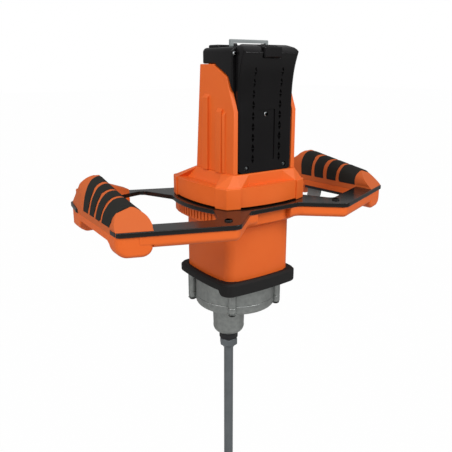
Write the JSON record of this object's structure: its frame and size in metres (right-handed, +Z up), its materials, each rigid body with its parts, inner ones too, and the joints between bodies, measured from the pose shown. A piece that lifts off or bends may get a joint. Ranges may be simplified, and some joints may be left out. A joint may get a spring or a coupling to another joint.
{
  "type": "mixing drill",
  "caption": "Cordless twin-handle paddle mixer: battery tower over a geared motor in a steel D-handle frame, with a helical mixing paddle on a long rod",
  "frame": {"origin": "middle of the body in the top face of the handle plate", "axes": "X to the right-hand grip, -Y to the front where the battery face is, Z up along the motor and the paddle rod"},
  "size_m": [0.382, 0.2122, 0.9315],
  "materials": {
    "orange_shell": "fine spark-eroded grain, orange",
    "black_plastic": "fine grain, black",
    "pack_plastic": "fine grain, black",
    "grey_plastic": "smooth, light grey",
    "grip_rubber": "matte overmould",
    "belt_rubber": "matte moulded rubber",
    "plate_paint": "gloss black powder coat",
    "gearbox_casting": "bead-blasted die casting",
    "fastener_steel": "zinc plated",
    "bearing_steel": "ground",
    "gear_steel": "machined",
    "motor_steel": "varnished laminations",
    "rod_steel": "drawn, oiled",
    "cell_can": "shrink sleeve over a can"
  },
  "bodies": {
    "drill": {"upper_cap": "orange_shell", "battery_cradle": "orange_shell", "vent_ring": "orange_shell", "motor_housing": "orange_shell", "right_grip": "orange_shell", "left_grip": "orange_shell", "right_grip_base": "orange_shell", "left_grip_base": "orange_shell", "right_arm_cover": "orange_shell", "left_arm_cover": "orange_shell", "controller": "black_plastic", "terminal_block": "black_plastic", "switch_frame": "black_plastic", "trigger_switch": "black_plastic", "right_grip_bands": "grip_rubber", "left_grip_bands": "grip_rubber", "guard_belt": "belt_rubber", "oil_seal": "belt_rubber", "frame_plate": "plate_paint", "gearbox_case": "gearbox_casting", "gearbox_cover": "gearbox_casting", "plate_screws": "fastener_steel", "grip_screws": "fastener_steel", "gearbox_screws": "fastener_steel", "trigger_pin": "fastener_steel", "rotor_bearings": "bearing_steel", "lay_bearings": "bearing_steel", "spindle_bearings": "bearing_steel", "stator": "motor_steel"},
    "battery": {"pack_case": "pack_plastic", "pack_face": "pack_plastic", "pack_screws": "fastener_steel", "pack_cells": "cell_can"},
    "release_button": {"release_button": "pack_plastic"},
    "pull_bail": {"pull_bail": "grey_plastic"},
    "trigger": {"trigger": "grey_plastic"},
    "spindle": {"spindle": "gear_steel", "output_gear": "gear_steel", "dust_collar": "black_plastic", "mixer_rod": "rod_steel", "paddle_ring": "rod_steel", "paddle_blades": "rod_steel"},
    "lay_shaft": {"lay_shaft": "gear_steel"},
    "rotor": {"rotor": "motor_steel", "cooling_fan": "black_plastic"}
  },
  "joints": [
    {"name": "battery_slide", "type": "slide", "parent": "drill", "child": "battery", "axis": [0, 0, 1], "range_m": [0, 0.14]},
    {"name": "release_press", "type": "slide", "parent": "battery", "child": "release_button", "axis": [0, 1, 0], "range_m": [0, 0.003], "stiffness_N_per_m": 900},
    {"name": "bail_swing", "type": "hinge", "parent": "battery", "child": "pull_bail", "pos_m": [0, -0.02, 0.1734], "axis": [-1, 0, 0], "range_deg": [0, 90]},
    {"name": "trigger_pull", "type": "hinge", "parent": "drill", "child": "trigger", "pos_m": [0.16953, 0.028, -0.0095], "axis": [0.0523, -0.9986, 0], "range_deg": [0, 10], "stiffness_Nm_per_rad": 0.6},
    {"name": "spindle_spin", "type": "hinge", "parent": "drill", "child": "spindle", "pos_m": [0, 0.01759, 0], "axis": [0, 0, 1], "continuous": true},
    {"name": "lay_spin", "type": "hinge", "parent": "drill", "child": "lay_shaft", "pos_m": [0.01964, 0.0038, 0], "axis": [0, 0, 1], "continuous": true},
    {"name": "rotor_spin", "type": "hinge", "parent": "drill", "child": "rotor", "pos_m": [0, 0, 0], "axis": [0, 0, 1], "continuous": true}
  ],
  "couplings": [
    {"joint": "lay_spin", "follows": "spindle_spin", "ratio": -2.2},
    {"joint": "rotor_spin", "follows": "spindle_spin", "ratio": 6.6}
  ]
}
